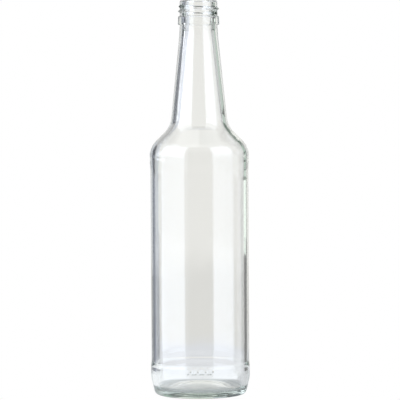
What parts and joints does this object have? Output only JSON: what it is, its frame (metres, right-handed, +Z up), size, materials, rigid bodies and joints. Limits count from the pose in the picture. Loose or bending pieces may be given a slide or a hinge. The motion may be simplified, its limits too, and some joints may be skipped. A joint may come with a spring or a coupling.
{
  "type": "spirit bottle",
  "caption": "Tall clear glass spirit bottle with a tapered neck, a finish for a roll-on cap, a recessed label panel and a pushed-up base.",
  "frame": {"origin": "middle of the foot's bearing face, at the bottom of the bottle", "axes": "+Z up along the bottle's axis and out of the mouth; the bottle is round about Z apart from its knurls"},
  "size_m": [0.0668, 0.0668, 0.266],
  "materials": {
    "clear_glass": "clear, polished"
  },
  "bodies": {
    "root": {"bottle": "clear_glass"}
  },
  "joints": []
}
